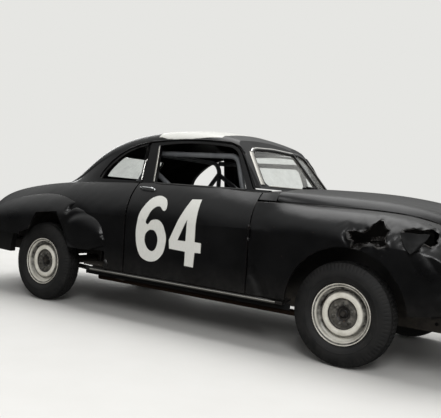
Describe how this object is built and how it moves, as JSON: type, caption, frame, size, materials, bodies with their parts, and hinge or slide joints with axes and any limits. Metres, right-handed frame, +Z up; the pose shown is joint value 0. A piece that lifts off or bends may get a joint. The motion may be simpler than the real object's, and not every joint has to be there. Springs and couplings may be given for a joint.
{
  "type": "two-door coupe stock car",
  "caption": "Two-door coupe stripped for short-track racing, with roll cage, cut and torn fenders, opening doors, hood and trunk lid, steered front wheels.",
  "frame": {"origin": "on the ground under the middle of the car's box, on the centre plane", "axes": "+X towards the nose, +Y towards the car's left, +Z up"},
  "size_m": [5.018, 1.8748, 1.6389],
  "materials": {
    "body_paint": "weathered semi-gloss black paint",
    "chassis_paint": "dull black chassis paint, oily",
    "bumper_chrome": "dulled chrome plate",
    "glass": "clear laminated glass",
    "cage_paint": "brushed-on grey enamel",
    "seat_vinyl": "worn vinyl",
    "dash_paint": "dark enamel",
    "steering_plastic": "hard black plastic rim",
    "engine_iron": "oily cast iron",
    "exhaust_steel": "rusty steel tube",
    "wheel_paint": "off-white painted steel, dusty",
    "tyre_rubber": "dusty black rubber"
  },
  "bodies": {
    "body": {"chassis_frame": "chassis_paint", "floor": "chassis_paint", "firewall": "chassis_paint", "cowl": "body_paint", "cab_shell": "body_paint", "quarter_left": "body_paint", "quarter_right": "body_paint", "tail_panel": "body_paint", "trunk_floor": "chassis_paint", "fender_front_left": "body_paint", "fender_front_right": "body_paint", "inner_fenders": "chassis_paint", "fender_rear_left": "body_paint", "fender_rear_right": "body_paint", "grille": "bumper_chrome", "bumpers": "bumper_chrome", "rocker_panels": "body_paint", "window_glass": "glass", "roll_cage": "cage_paint", "seat": "seat_vinyl", "dash_panel": "dash_paint", "steering_column": "chassis_paint", "engine_block": "engine_iron", "radiator": "chassis_paint", "front_suspension": "chassis_paint", "rear_axle": "chassis_paint", "leaf_springs": "chassis_paint", "driveshaft": "chassis_paint", "exhaust": "exhaust_steel", "fuel_tank": "chassis_paint"},
    "hood": {"hood": "body_paint"},
    "trunk_lid": {"trunk_lid": "body_paint"},
    "door_left": {"door_left": "body_paint"},
    "door_right": {"door_right": "body_paint"},
    "steering_wheel": {"steering_wheel": "steering_plastic"},
    "knuckle_left": {"knuckle_left": "chassis_paint"},
    "knuckle_right": {"knuckle_right": "chassis_paint"},
    "wheel_front_left": {"wheel_front_left": "wheel_paint", "tyre_front_left": "tyre_rubber"},
    "wheel_front_right": {"wheel_front_right": "wheel_paint", "tyre_front_right": "tyre_rubber"},
    "wheel_rear_left": {"wheel_rear_left": "wheel_paint", "tyre_rear_left": "tyre_rubber"},
    "wheel_rear_right": {"wheel_rear_right": "wheel_paint", "tyre_rear_right": "tyre_rubber"}
  },
  "joints": [
    {"name": "steering_wheel_turn", "type": "hinge", "parent": "body", "child": "steering_wheel", "pos_m": [0.56, 0.335, 0.985], "axis": [-0.8055, 0, 0.5926], "range_deg": [-540, 540]},
    {"name": "steer_left", "type": "hinge", "parent": "body", "child": "knuckle_left", "pos_m": [1.658, 0.655, 0.356], "axis": [0, 0, 1], "range_deg": [-32, 32]},
    {"name": "steer_right", "type": "hinge", "parent": "body", "child": "knuckle_right", "pos_m": [1.658, -0.655, 0.356], "axis": [0, 0, 1], "range_deg": [-32, 32]},
    {"name": "wheel_front_left_spin", "type": "hinge", "parent": "knuckle_left", "child": "wheel_front_left", "pos_m": [1.658, 0.724, 0.356], "axis": [0, 1, 0], "continuous": true},
    {"name": "wheel_front_right_spin", "type": "hinge", "parent": "knuckle_right", "child": "wheel_front_right", "pos_m": [1.658, -0.724, 0.356], "axis": [0, 1, 0], "continuous": true},
    {"name": "wheel_rear_left_spin", "type": "hinge", "parent": "body", "child": "wheel_rear_left", "pos_m": [-1.263, 0.746, 0.356], "axis": [0, 1, 0], "continuous": true},
    {"name": "wheel_rear_right_spin", "type": "hinge", "parent": "body", "child": "wheel_rear_right", "pos_m": [-1.263, -0.746, 0.356], "axis": [0, 1, 0], "continuous": true},
    {"name": "door_left_hinge", "type": "hinge", "parent": "body", "child": "door_left", "pos_m": [0.9545, 0.886, 0.7], "axis": [0, 0, -1], "range_deg": [0, 65]},
    {"name": "door_right_hinge", "type": "hinge", "parent": "body", "child": "door_right", "pos_m": [0.9545, -0.886, 0.7], "axis": [0, 0, 1], "range_deg": [0, 65]},
    {"name": "hood_hinge", "type": "hinge", "parent": "body", "child": "hood", "pos_m": [1.117, 0, 1.196], "axis": [0, -1, 0], "range_deg": [0, 50]},
    {"name": "trunk_lid_hinge", "type": "hinge", "parent": "body", "child": "trunk_lid", "pos_m": [-1.389, 0, 1.098], "axis": [0, 1, 0], "range_deg": [0, 60]}
  ],
  "couplings": [
    {"joint": "steer_left", "follows": "steering_wheel_turn", "ratio": 0.059259},
    {"joint": "steer_right", "follows": "steering_wheel_turn", "ratio": 0.059259}
  ]
}
